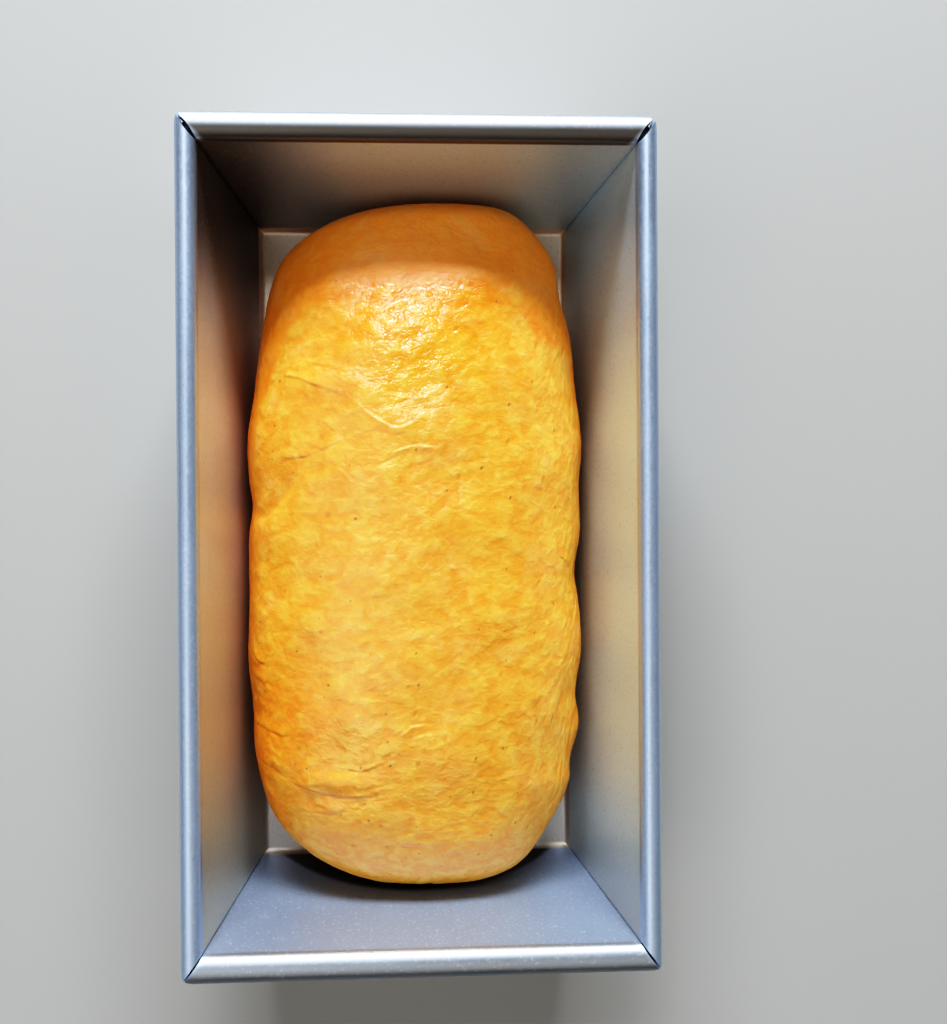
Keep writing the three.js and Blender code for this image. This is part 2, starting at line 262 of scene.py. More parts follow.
# Where the finish of the tin and the light and shade painted on it change, from one place to another
RIGHT_WALL = (30 * MM, 45 * MM)
LEFT_WALL = (-35 * MM, -48 * MM)
LEFT_WALL_NEAR = (30 * MM, -60 * MM)
NEAR_SHADE = (-80 * MM, -110 * MM, 0, 0.7)
NEAR_WALL = (-50.5 * MM, -52.5 * MM)
FAR_WALL = (50.5 * MM, 52.5 * MM)
END_RIM = (52.5 * MM, 54.5 * MM)
TIN_FLOOR = (4 * MM, 2 * MM)
FAR_FLOOR = (0, 80 * MM)
RIM = (65.8 * MM, 67 * MM)
RIM_INNER_HALF = (118.4 * MM, 116.2 * MM)
FAR_RIM = (90 * MM, 100 * MM)

# Painted shade in the far corners: place, how far it reaches, how strong it is
PAINTED_CORNER_SHADE = ((-62 * MM, 102 * MM, 44 * MM, 0.9), (58 * MM, 109 * MM, 30 * MM, 0.12))
FULL_CORNER_SHADE_AT = 6 * MM

# Painted shadow under the near end of the dough on the near wall: its upper edge, and how it falls
NEAR_SHADOW_EDGE = (32.5 * MM, 28.5 * MM, 0, 0.93)
NEAR_SHADOW_FALL = 10.5
NEAR_SHADOW_FALL_FASTER = 2200

# How dull and how metallic the steel is
STEEL_ROUGHNESS = (0.47, 0.53)
RUBBED_SHINE = 0.04
SPECKLE_ROUGHNESS = 0.03
WALL_METAL = 0.7
RIM_METAL = 0.9
SPECKLE_SHARE = 0.3
SPECKLE_RELIEF = 0.01 * MM

# The soft lights: compass turn from +Y towards +X, height in degrees, distance, width, height,
# power and colour
SOFT_LIGHTS = {
    "far_window": (0, 27, 1.7, 0.9, 0.34, 35, DAYLIGHT),
    "high_window": (-11, 61, 1.7, 0.42, 0.26, 4.2, DAYLIGHT),
    "left_sky": (-108, 50, 1.5, 1.5, 2.1, 4.4, DAYLIGHT),
    "left_strip": (-125, 61, 1.5, 0.2, 0.6, 0.6, DAYLIGHT),
    "right_sky": (100, 38, 1.5, 1.5, 1.5, 1.75, DAYLIGHT),
    "room_lamp": (-170, 60, 1.6, 2.0, 1.4, 4.1, LAMPLIGHT),
}
LIGHTS_AIM = (0, 0, 0.05)
ROOM_GLOW = 0.02
FLOOR_SIZE = 6

# The camera, above the loaf and a little to the left of it
CAMERA_TURN = Vector((0.00514, 0.066682, 0.007259))
CAMERA_SHIFT = Vector((-0.019171445, -0.009257846, -0.460117283))
LENS_PIXELS = 1400
PICTURE_HEIGHT = 1024
SENSOR = 36

# How the picture is developed
EXPOSURE = 0.6
CONTRAST_GAMMA = 0.8
TONE_POINTS = ((0.03, 0.013), (0.08, 0.058), (0.2, 0.2), (0.42, 0.42), (0.66, 0.575))
BRIGHTEST_SHOWN = 0.655


# Picking and shaping with the ordinary tools


def deselect_all():
    if bpy.context.object and bpy.context.object.mode != "OBJECT":
        bpy.ops.object.mode_set(mode="OBJECT")
    bpy.ops.object.select_all(action="DESELECT")


def take(piece):
    deselect_all()
    piece.select_set(True)
    bpy.context.view_layer.objects.active = piece


def pick(piece, test):
    """Selects the points of a piece, and the edges and faces between them, by their place."""
    take(piece)
    mesh = piece.data
    chosen = [test(v.co) for v in mesh.vertices]
    for vertex, yes in zip(mesh.vertices, chosen):
        vertex.select = yes
    for edge in mesh.edges:
        edge.select = all(chosen[i] for i in edge.vertices)
    for face in mesh.polygons:
        face.select = all(chosen[i] for i in face.vertices)
    bpy.ops.object.mode_set(mode="EDIT")


def finish_editing():
    bpy.ops.object.mode_set(mode="OBJECT")


def merge_points(piece, distance):
    take(piece)
    bpy.ops.object.mode_set(mode="EDIT")
    bpy.ops.mesh.select_all(action="SELECT")
    bpy.ops.mesh.remove_doubles(threshold=distance)
    finish_editing()


def apply_modifier(piece, kind, **settings):
    take(piece)
    modifier = piece.modifiers.new(kind.title(), kind)
    for key, value in settings.items():
        setattr(modifier, key, value)
    bpy.ops.object.modifier_apply(modifier=modifier.name)


def smooth_by_angle(piece, degrees):
    take(piece)
    bpy.ops.object.shade_smooth_by_angle(angle=math.radians(degrees))


def join(pieces, name):
    deselect_all()
    for piece in pieces:
        piece.select_set(True)
    bpy.context.view_layer.objects.active = pieces[0]
    bpy.ops.object.join()
    pieces[0].name = name
    pieces[0].data.name = name
    return pieces[0]


def bell(distance, spread):
    return math.exp(-((distance / spread) ** 2))


def ease(low, high, value):
    t = min(1, max(0, (value - low) / (high - low)))
    return t * t * (3 - 2 * t)


# The tin


def lean_at(height):
    return (height - SHEET) * math.tan(WALL_LEAN)


def fold_up(panel, start):
    """Turns the edge of a strip of floor up through the fold and straight up the wall."""
    edge = start - FOLD_SETBACK
    pick(panel, lambda co: co.x > edge - HAIR)
    bpy.ops.mesh.spin(
        steps=FOLD_ROWS,
        angle=math.pi / 2 - WALL_LEAN,
        center=(edge, 0, SHEET + FOLD_RADIUS),
        axis=(0, 1, 0),
    )
    foot = SHEET + FOLD_RADIUS * (1 - math.sin(WALL_LEAN))
    rise = (JOINED_HEIGHT - foot) / WALL_ROWS
    for _ in range(WALL_ROWS):
        move = (rise * math.tan(WALL_LEAN), 0, rise)
        bpy.ops.mesh.extrude_region_move(TRANSFORM_OT_translate={"value": move})


def roll_over(panel, start, bead_x, bead_z, bead_half):
    """Rolls the top of the wall outwards over its wire, and presses the roll to its oval."""
    stretch = bead_half / BEAD_HALF_HEIGHT
    lean = math.atan(math.tan(WALL_LEAN) / stretch)
    tangent_x = bead_x - BEAD_HALF_HEIGHT * math.cos(lean)
    tangent_z = bead_z + BEAD_HALF_HEIGHT * math.sin(lean)
    wall_x = start + lean_at(JOINED_HEIGHT)
    move = (tangent_x - wall_x, 0, tangent_z - JOINED_HEIGHT)
    bpy.ops.mesh.extrude_region_move(TRANSFORM_OT_translate={"value": move})
    bpy.ops.mesh.spin(
        steps=ROLL_ROWS, angle=-ROLL_TURN, center=(bead_x, 0, bead_z), axis=(0, 1, 0)
    )
    finish_editing()
    pick(panel, lambda co: co.z > JOINED_HEIGHT + HAIR or co.x > wall_x + HAIR)
    bpy.ops.transform.resize(value=(stretch, 1, 1), center_override=(bead_x, 0, bead_z))
    finish_editing()


def mitre_gap(corner, share):
    inner, middle, outer = MITRE_GAPS[corner]
    along = min(1, max(0, share))
    straight = inner + (outer - inner) * along
    return straight + (middle - (inner + outer) / 2) * math.sin(math.pi * along)


def corner_of(x, y):
    return (1 if x > 0 else -1, 1 if y > 0 else -1)


def to_world(turn, x, y):
    """A panel is shaped facing +X, so a place on it is turned to where the panel will be."""
    return (x * turn[0] - y * turn[1], x * turn[1] + y * turn[0])


def cut_to_corners(panel, turn, start, half, bead_x, bead_half, other_half):
    """Flares a panel so that its ends lie on the corners, with its lips and mitres."""
    inner_x = bead_x - bead_half
    for vertex in panel.data.vertices:
        co = vertex.co
        side = math.copysign(1, co.y)
        corner = corner_of(*to_world(turn, 1, side))
        crowded = 1 - (1 - min(1, abs(co.y) / half)) ** COLUMN_CROWDING
        on_roll = co.z > JOINED_HEIGHT + MM or co.x > start + lean_at(JOINED_HEIGHT) + MM / 2
        reach = half + co.x - start
        if on_roll:
            slope = other_half / bead_half
            share = (co.x - inner_x) / (2 * bead_half)
            reach = half + inner_x - start + slope * (co.x - inner_x)
            reach -= mitre_gap(corner, share) * math.hypot(1, slope) / 2
        from_corner = reach * (1 - crowded)
        along = reach * crowded
        if not on_roll and co.z > SHEET + HAIR:
            lip_reach, lip_depth = LIPS[corner]
            near = max(0, 1 - from_corner / lip_reach)
            opened = ease(SHEET, SHEET + 2 * FOLD_RADIUS, co.z)
            out = lip_depth * opened * near ** 3
            co.x += out
            along += out * near
        co.y = side * along


def make_panel(name, turn, start, half, bead_x, bead_z, bead_half, other_half, columns):
    length = FLOOR_X - FOLD_SETBACK
    deselect_all()
    bpy.ops.mesh.primitive_grid_add(
        x_subdivisions=FLOOR_ROWS, y_subdivisions=columns, size=1,
        location=(start - FOLD_SETBACK - length / 2, 0, SHEET),
    )
    panel = bpy.context.object
    panel.name = name
    bpy.ops.transform.resize(value=(length, 2 * half, 1))
    bpy.ops.object.transform_apply(location=True, rotation=True, scale=True)
    fold_up(panel, start)
    roll_over(panel, start, bead_x, bead_z, bead_half)
    cut_to_corners(panel, turn, start, half, bead_x, bead_half, other_half)
    for vertex in panel.data.vertices:
        vertex.co.x, vertex.co.y = to_world(turn, vertex.co.x, vertex.co.y)
    return panel


def round_rim_corners(tin, rim_x, rim_y):
    for vertex in tin.data.vertices:
        corner = corner_of(vertex.co.x, vertex.co.y)
        radius = RIM_CORNER_RADIUS[corner]
        past_x = abs(vertex.co.x) - (rim_x - radius)
        past_y = abs(vertex.co.y) - (rim_y - radius)
        if past_x > 0 and past_y > 0:
            shrink = radius / max(radius, math.hypot(past_x, past_y))
            vertex.co.x = corner[0] * (rim_x - radius + past_x * shrink)
            vertex.co.y = corner[1] * (rim_y - radius + past_y * shrink)


def wave_the_sheet(tin):
    """Real sheet is never quite flat: the middles of the walls and floor swell a little."""
    for vertex in tin.data.vertices:
        co = vertex.co
        edge_x = FLOOR_X + lean_at(co.z) - abs(co.x)
        edge_y = FLOOR_Y + lean_at(co.z) - abs(co.y)
        on_floor = co.z < SHEET + HAIR
        if on_floor:
            free = ease(0, FLAT_BY_FLOOR_EDGE, min(edge_x, edge_y))
        else:
            free = ease(0, FLAT_BY_WALL_EDGE, max(edge_x, edge_y))
            free *= ease(SHEET, FLAT_ABOVE_FLOOR, co.z)
            free *= ease(0, FLAT_BELOW_RIM, JOINED_HEIGHT - co.z)
        wave = noise.noise(co / WAVE_LENGTH + WAVE_START)
        if on_floor:
            wave = abs(wave)
        co += vertex.normal * (wave * WAVE_HEIGHT * free)


def flap_corner(height, back):
    """A corner of a flap on the far wall, at a height and a way back from the tin's corner."""
    stand = SHEET * (1 - FLAP_SINK) / math.cos(WALL_LEAN)
    x = FLOOR_X + lean_at(height) + SHEET / 2 - back
    return Vector((x, FLOOR_Y + lean_at(height) + stand, height))


def make_flap(side, end):
    """The double thickness of sheet left by one folded corner, laid flat on the end wall."""
    deselect_all()
    bpy.ops.mesh.primitive_circle_add(vertices=3, radius=FLAP_REACH, fill_type="NGON")
    flap = bpy.context.object
    flap.name = "flap"
    places = (
        flap_corner(FLAP_FOOT, 0), flap_corner(FLAP_TOP, 0), flap_corner(FLAP_TOP, FLAP_REACH),
    )
    for vertex, place in zip(flap.data.vertices, places):
        vertex.co = (place.x * side, place.y * end, place.z)
    out = Vector((0, end * math.cos(WALL_LEAN), -math.sin(WALL_LEAN)))
    pick(flap, lambda co: True)
    bpy.ops.mesh.extrude_region_move(
        TRANSFORM_OT_translate={"value": out * (FLAP_THICKNESS + SHEET * FLAP_SINK)}
    )
    bpy.ops.mesh.select_all(action="SELECT")
    bpy.ops.mesh.normals_make_consistent(inside=False)
    finish_editing()
    apply_modifier(flap, "BEVEL", width=FLAP_ROUNDING, segments=4)
    return flap


def make_wire(side_x, end_y, height):
    """The wire that stiffens the rim: one loop inside the rolls, bent round at the corners."""
    deselect_all()
    bpy.ops.mesh.primitive_circle_add(
        vertices=WIRE_SIDES, radius=WIRE_RADIUS,
        location=(side_x, WIRE_BEND - end_y, height), rotation=(math.pi / 2, 0, 0),
    )
    wire = bpy.context.object
    wire.name = "rim_wire"
    bpy.ops.object.transform_apply(location=True, rotation=True, scale=True)
    pick(wire, lambda co: True)
    long_run, short_run = 2 * (end_y - WIRE_BEND), 2 * (side_x - WIRE_BEND)
    runs = ((0, long_run), (-short_run, 0), (0, -long_run), (short_run, 0))
    bends = ((1, 1), (-1, 1), (-1, -1), (1, -1))
    for (run_x, run_y), (bend_x, bend_y) in zip(runs, bends):
        bpy.ops.mesh.extrude_region_move(TRANSFORM_OT_translate={"value": (run_x, run_y, 0)})
        centre = (bend_x * (side_x - WIRE_BEND), bend_y * (end_y - WIRE_BEND), height)
        bpy.ops.mesh.spin(steps=BEND_STEPS, angle=-math.pi / 2, center=centre, axis=(0, 0, 1))
    finish_editing()
    merge_points(wire, SAME_POINT)
    pick(wire, lambda co: True)
    bpy.ops.mesh.normals_make_consistent(inside=False)
    finish_editing()
    for vertex in wire.data.vertices:
        past = abs(vertex.co.y) - end_y
        widened = past * (1 + WIRE_FLATTENING * ease(*FLATTENED_PAST, past))
        vertex.co.y = math.copysign(end_y + widened, vertex.co.y)
    mark = wire.data.attributes.new("wire", "FLOAT", "POINT")
    for value in mark.data:
        value.value = 1
    return wire


def mark_inside(tin):
    """Notes which points of the sheet face up into the tin, where light and shade are painted on it.
    """
    facing = [ease(-0.05, 0.05, point.normal.z) for point in tin.data.vertices]
    mark = tin.data.attributes.new("inside", "FLOAT", "POINT")
    mark.data.foreach_set("value", facing)


def make_tin():
    _, rim_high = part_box("tin")
    bead_z = rim_high.z - BEAD_HALF_HEIGHT
    side_x = rim_high.x - SIDE_BEAD_HALF
    end_y = rim_high.y - END_BEAD_HALF
    panels = []
    for name, turn in (("right_wall", (1, 0)), ("left_wall", (-1, 0))):
        panels.append(make_panel(
            name, turn, FLOOR_X, FLOOR_Y, side_x, bead_z,
            SIDE_BEAD_HALF, END_BEAD_HALF, SIDE_COLUMNS,
        ))
    for name, turn in (("far_wall", (0, 1)), ("near_wall", (0, -1))):
        panels.append(make_panel(
            name, turn, FLOOR_Y, FLOOR_X, end_y, bead_z,
            END_BEAD_HALF, SIDE_BEAD_HALF, END_COLUMNS,
        ))
    tin = join(panels, "loaf_tin")
    merge_points(tin, SAME_POINT)
    round_rim_corners(tin, rim_high.x, rim_high.y)
    wave_the_sheet(tin)
    apply_modifier(tin, "SOLIDIFY", thickness=SHEET, offset=-1, use_even_offset=True)
    flaps = [make_flap(side, end) for side in (-1, 1) for end in (-1, 1)]
    tin = join([tin, make_wire(side_x, end_y, bead_z)] + flaps, "loaf_tin")
    mark_inside(tin)
    smooth_by_angle(tin, SHARPEST_SMOOTH)
    return tin


# The dough


def skin_place(co):
    """Where a point of the skin lies when the skin is laid out flat, in millimetres."""
    x, y, z = (co.x / MM, co.y / MM, co.z / MM)
    turn = math.atan2(x / SECTION_HALF, (z - WAIST / MM) / SECTION_RISE)
    shoulder = max(0, abs(y) - END_SHOULDER)
    return SECTION_ARC * turn, y + math.copysign(END_BOW * shoulder ** 2, y)


def waver(across, along, wave, push=(0, 0)):
    """Soft chance swells over the skin laid flat."""
    width, length, seed = wave
    return noise.noise(Vector((across / width + push[0], along / length + push[1], seed)))


def stretch_line(across, along):
    """How far up the drawn-out streaks of the skin a place lies. They rise towards the right."""
    level = ease(-95, -40, along)
    rise = (across + 35) ** 2 / 170 + max(0, across - 20) ** 3 / 6000
    return along - (0.3 + 0.7 * level) * rise


def near_path(path, x, y):
    """Distance from a path, positive on its left going along it, and the share of it covered."""
    best = (1e9, 0, 0)
    for i in range(len(path) - 1):
        ax, ay = path[i]
        bx, by = path[i + 1]
        dx, dy = bx - ax, by - ay
        t = min(1, max(0, ((x - ax) * dx + (y - ay) * dy) / (dx * dx + dy * dy)))
        gap_x, gap_y = x - ax - dx * t, y - ay - dy * t
        distance = math.hypot(gap_x, gap_y)
        if distance < best[0]:
            side = math.copysign(1, dx * gap_y - dy * gap_x)
            best = (distance, side, (i + t) / (len(path) - 1))
    return best[0] * best[1], best[2]


# Overlaps of the skin as paths seen from above, in millimetres. The skin on the left of a path
# lies on top where lip is above 0, the skin on its right where it is below 0.
OVERLAPS = [
    # The tuck where the roll was closed, and the lesser one beside it
    {"path": [(-39, -69.6), (-35.4, -70.9), (-30.3, -72.4), (-24.4, -73.4), (-19.4, -73.5),
              (-15.3, -73.1), (-11, -72.4)], "lip": 0.8, "spread": 4, "cut": 0.36},
    {"path": [(-23, -64.8), (-20.5, -65.4), (-17.3, -65.9), (-12.6, -63.8), (-7, -61)],
     "lip": 0.3, "spread": 2.6, "cut": 0.17},
    {"path": [(-36, -77.8), (-33.7, -78.5), (-27.7, -78.9), (-21.8, -77.7), (-18, -76.6)],
     "lip": 0.3, "spread": 2.2, "cut": 0.14},
    # The wavy wrinkle that swings across the far half: its left half folds one way, its right
    # half the other
    {"path": [(-41, 50.4), (-38.4, 50), (-34.5, 49.1), (-30.9, 47.3), (-27.1, 46), (-22.8, 44.4),
              (-18, 41.6)], "lip": 0.5, "spread": 3, "cut": 0.1},
    {"path": [(-24, 46), (-19.3, 42.9), (-16.4, 40.1), (-13.8, 37.5), (-11.3, 35.8), (-8.4, 34.2),
              (-5.5, 33.7), (-2.6, 34.9), (0.3, 37), (3.5, 39.6)],
     "lip": -0.45, "spread": 2.6, "cut": 0.05},
    # Its lesser companions
    {"path": [(-36, 54.6), (-30.1, 53.2), (-25.7, 52.1), (-21.3, 50.9), (-15.5, 51.6)],
     "lip": 0.28, "spread": 1.8, "cut": 0.1},
    {"path": [(-9, 26.2), (-7, 26.8), (-4.1, 27.9), (0.2, 28.6), (4.5, 27.8), (7, 29.4)],
     "lip": -0.36, "spread": 1.3, "cut": 0.06},
    {"path": [(-8, 44), (-3.4, 42.2), (1.6, 42.8), (6.2, 45.4)],
     "lip": -0.26, "spread": 1.4, "cut": 0.05},
    {"path": [(-40.5, 24.6), (-38.5, 25.6), (-32.6, 26.2), (-27.3, 28.5), (-22, 30.8),
              (-17.6, 32.9)], "lip": 0.24, "spread": 2.2, "cut": 0.16},
    {"path": [(-25.6, 24), (-21.5, 20.5), (-18.3, 17)], "lip": -0.3, "spread": 1.6, "cut": 0.06},
    {"path": [(-13, 23.2), (-9, 25.1), (-4.8, 27)], "lip": 0.22, "spread": 1.4, "cut": 0.14},
    # Short ones low in the middle
    {"path": [(-7, -56.2), (-5, -55), (-2.7, -53), (1.1, -52.6), (5, -53.4)],
     "lip": -0.3, "spread": 1.3, "cut": 0.08},
    {"path": [(-4, -57.4), (-2.1, -56.5), (1.1, -55.6), (5, -55.2)],
     "lip": -0.26, "spread": 1.2, "cut": 0.08},
    # The curled scrap on the left edge, and the ones below it
    {"path": [(-49.6, -30.8), (-49.2, -32.2), (-48.5, -33.7), (-47.3, -34.8), (-45.2, -35.2)],
     "lip": 0.8, "spread": 1.1, "cut": 0.5},
    {"path": [(-50.4, -36.6), (-50, -38.4), (-47, -40.6), (-45.1, -43.1)],
     "lip": 0.3, "spread": 1.6, "cut": 0.2},
    {"path": [(-49.6, -53), (-48.6, -53.5), (-45.3, -54.9), (-40.8, -56.1), (-37, -55.6)],
     "lip": 0.32, "spread": 2, "cut": 0.18},
    {"path": [(-48.4, -64.4), (-43.2, -66.5), (-38.6, -69)],
     "lip": 0.24, "spread": 2, "cut": 0.16},
    # The long edges down the right side
    {"path": [(43, -25), (45.4, -29.5), (47.1, -34.3), (47.9, -42.5), (47.7, -48.9),
              (46, -54.6), (44.4, -62)], "lip": -0.42, "spread": 1.6, "cut": 0.2},
    {"path": [(45.6, -7.5), (44.3, -5.3), (42.5, -3.8), (43.4, -0.6), (44.8, 2.4)],
     "lip": -0.36, "spread": 1.2, "cut": 0.14},
]

# Soft furrows: path, depth, half width
FURROWS = [
    {"path": [(-52, 5.5), (-46.5, 8.9), (-43, 11.6), (-38.6, 16.8), (-35, 22.6)],
     "depth": 0.7, "spread": 1.9},
    {"path": [(-35, 22.6), (-31, 23.4), (-26, 19.8)], "depth": 0.16, "spread": 1.6},
    {"path": [(26, -26), (35.2, -24.5), (40.4, -19.5), (44.2, -17.4)],
     "depth": 0.13, "spread": 2.2},
    {"path": [(32, -35), (38.4, -33.3), (42.6, -31.6), (46.2, -29.6)],
     "depth": 0.13, "spread": 2.2},
    {"path": [(9.4, 96.4), (15.8, 91.7), (21.2, 88.4), (25, 83)], "depth": 0.2, "spread": 3},
    {"path": [(-26.2, -72), (-25, -62), (-25.4, -50), (-26.8, -38)], "depth": 0.24, "spread": 2.6},
]

# Small buttons of dough that stand out of the skin: place, size and how far they stand out
BUTTONS = [
    ((48.4, -73.4, 27), 1.9, 1),
    ((-48.6, -34, 33), 1.3, 0.7),
    ((33.7, -45.5, 48.7), 1.7, 0.34),
    ((-16.7, -28.5, 54.2), 1.2, 0.26),
    ((-3.2, -56.8, 53.8), 1.1, -0.2),
]

# Where the flanks swell out between the lumps of the log, or draw in: place, size, how far
SWELLS = [
    ((-43.5, -78.5, 29), 10, 1.6),
    ((47.5, -8, 31), 6, -1.2),
    ((48, 19, 32), 7, -0.7),
    ((47, -57, 29), 6.5, 1.3),
    ((42, -78, 30), 8, 0.9),
    ((-38.5, 85, 28), 9, 1.3),
    ((41, 84, 29), 8, 1.4),
    ((-22, -99, 26), 6, -1),
    ((24, -99, 26), 6, -0.9),
]


def make_chart(marks, reach):
    """Notes for each mark the box that it can reach, so that far points are passed over."""
    for mark in marks:
        xs = [p[0] for p in mark["path"]]
        ys = [p[1] for p in mark["path"]]
        mark["low"] = (min(xs) - reach, min(ys) - reach)
        mark["high"] = (max(xs) + reach, max(ys) + reach)
    return marks


def reaches(mark, x, y):
    low, high = mark["low"], mark["high"]
    return low[0] < x < high[0] and low[1] < y < high[1]


def fold_relief(x, y):
    """Height of the overlaps and furrows at a place, and how much painted shade darkens their creases
    there.
    """
    height = crease_shade = 0
    for mark in OVERLAPS:
        if not reaches(mark, x, y):
            continue
        off, share = near_path(mark["path"], x, y)
        if mark["lip"] < 0:
            off = -off
        fade = ease(0, 0.3, share) * ease(0, 0.35, 1 - share)
        fade *= 0.6 + 0.6 * waver(x, y, FOLD_FADE)
        lip = math.exp(-off / mark["spread"]) if off > 0 else bell(off, EDGE_SHARPNESS)
        cut = bell(off + EDGE_SHARPNESS, EDGE_SHARPNESS)
        height += fade * (abs(mark["lip"]) * lip - mark["cut"] * cut)
        crease_shade += fade * mark["cut"] * bell(off + EDGE_SHARPNESS / 2, 0.9 * EDGE_SHARPNESS)
    for mark in FURROWS:
        if not reaches(mark, x, y):
            continue
        off, share = near_path(mark["path"], x, y)
        fade = ease(0, 0.3, share) * ease(0, 0.3, 1 - share)
        height -= fade * mark["depth"] * bell(off, mark["spread"])
        crease_shade += fade * mark["depth"] * 0.25 * bell(off, mark["spread"])
    return height, crease_shade


def far_cap_shadow(x, y):
    """1 in the painted shadow of the far wall over the far end, 0 on the crown. The edge between them
    is an arch.
    """
    arch = CAP_ARCH - CAP_FALL * max(0, abs(x) - CAP_FLAT_HALF) ** 2
    return ease(*CAP_EDGE, y - arch)


def wetness(x, y):
    """1 in the wet patch on the far half of the crown, 0 away from it."""
    wide = bell(x - WET_AT[0], WET_HALF[0]) * bell(y - WET_AT[1], WET_HALF[1])
    wide *= 1 - far_cap_shadow(x, y)
    band = BAND_SHARE * bell(x - BAND_AT, BAND_HALF) * ease(-80, -66, y) * ease(0, -20, y)
    return min(1, wide + band)


def skin_ripple(co):
    """The fine ripple of the stretched skin at a place, in millimetres."""
    x, y = co.x / MM, co.y / MM
    across, along = skin_place(co)
    line = stretch_line(across, along)
    drift = waver(across, along, DRIFT)
    sway = waver(across, along, SWAY)
    streak = abs(waver(across, line, STREAK, (0.8 * sway, drift)))
    fine = abs(waver(across, line, FINE, (sway, 1.5 * drift)))
    curly = abs(waver(across, along, CURL, (1.4 * drift, 1.6 * sway)))
    flanks = ease(26, 44, abs(across))
    far_from_left = ease(-40, 0, across)
    right_flank = ease(30, 44, across)
    lively = 1 - 0.8 * ease(72, 86, y) - 0.25 * ease(-82, -97, y)
    height = STREAK_HEIGHT + STREAK_MORE_ON_FLANKS * flanks
    height += STREAK_MORE_ON_RIGHT * far_from_left
    ripple = height * streak + FINE_HEIGHT * fine - RIPPLE_SINK
    ripple += FINE_MORE_ON_RIGHT * right_flank * fine
    ripple += wetness(x, y) * (CURL_HEIGHT * curly - CURL_SINK)
    return lively * ripple


def skin_swell(co):
    """The lumps and the broad unevenness of the loaf, in millimetres."""
    x, y = co.x / MM, co.y / MM
    across, along = skin_place(co)
    lower_left = ease(10, -30, x) * ease(10, -40, y) * ease(-92, -78, y)
    quiet = 1 - 0.6 * ease(74, 90, y)
    lump = waver(across, along, LUMP)
    lump *= LUMP_HEIGHT + LUMP_MORE_LOWER_LEFT * lower_left + LUMP_MORE_WHERE_WET * wetness(x, y)
    patch = PATCH_HEIGHT * waver(across, along, PATCH)
    broad = BROAD_HEIGHT * waver(across, along, BROAD)
    return quiet * (lump + patch + broad)


def skin_tint_and_painted_light(co):
    """How pale the skin is (above 0) or how deep an orange (below 0) at a place. The pale band is a
    painted highlight, and the orange over the far end, below its edge, at the upper left and low on
    the flanks is painted shade.
    """
    wander = 5 * waver(co.x / MM, co.y / MM, WANDER)
    x, y = co.x / MM + wander, co.y / MM + wander
    left_side = ease(-20, -44, x) * ease(55, 20, y)
    lower_left = ease(-4, -30, x) * ease(-10, -45, y) * ease(-88, -74, y)
    left_patch = ease(-19, -26, co.x / MM + wander / 3) * bell(y + 53, 17)
    shade_below_cap = bell(y - 73, 15) * ease(36, 20, abs(x))
    shade_upper_left = bell(math.hypot(x + 32, y - 44), 15)
    pale_spots = 0.6 * bell(math.hypot(x + 24.7, y + 15.8), 3)
    pale_spots += 0.5 * bell(math.hypot(x + 23.3, y + 25.4), 2.5)
    highlight_band = bell(x + 19, 6) * ease(-78, -64, y) * ease(-8, -30, y)
    flanks = ease(44, 30, co.z / MM)
    tint = pale_spots + 0.4 * highlight_band
    tint -= 0.2 * left_side + 0.1 * lower_left + 0.35 * left_patch + 0.65 * shade_below_cap
    tint -= 0.3 * shade_upper_left + 0.9 * far_cap_shadow(x, y) + 0.6 * flanks
    return max(-1, min(1, tint))


def calmness(x, y):
    """1 on the taut ends of the loaf, where the skin is smooth and even, 0 between them."""
    return 0.7 * far_cap_shadow(x, y) + 0.15 * ease(-82, -95, y)


SKIN_NOTES = ("skin_ripple", "skin_crease_shade", "skin_tint_and_painted_light", "skin_wet", "skin_calm")


def press_skin(dough):
    """Presses every ripple, lump, fold and button into the skin, and notes what lies where."""
    mesh = dough.data
    mesh.attributes.new("skin_laid", "FLOAT_VECTOR", "POINT")
    for name in SKIN_NOTES:
        mesh.attributes.new(name, "FLOAT", "POINT")
    laid = mesh.attributes["skin_laid"].data
    notes = [mesh.attributes[name].data for name in SKIN_NOTES]
    moved = []
    for i, vertex in enumerate(mesh.vertices):
        co = vertex.co
        x, y = co.x / MM, co.y / MM
        across, along = skin_place(co)
        laid[i].vector = (across, stretch_line(across, along), along)
        above = ease(*RELIEF_FROM, co.z / MM)
        ripple = height = crease_shade = 0
        if above > 0:
            ripple = skin_ripple(co)
            height, crease_shade = fold_relief(x, y)
            height += skin_swell(co)
        for place, size, out in BUTTONS + SWELLS:
            height += out * bell((co / MM - Vector(place)).length, size)
        values = (ripple * above, crease_shade * above, skin_tint_and_painted_light(co), wetness(x, y), calmness(x, y))
        for note, value in zip(notes, values):
            note[i].value = value
        moved.append(co + vertex.normal * (ripple + height) * above * MM)
    for vertex, place in zip(mesh.vertices, moved):
        vertex.co = place


def by_an_overlap(co):
    """Whether a point lies so near an overlap that the skin needs small faces there."""
    if co.z < FINE_ABOVE:
        return False
    x, y = co.x / MM, co.y / MM
    for mark in OVERLAPS:
        if reaches(mark, x, y) and abs(near_path(mark["path"], x, y)[0]) < FINE_REACH:
            return True
    return False


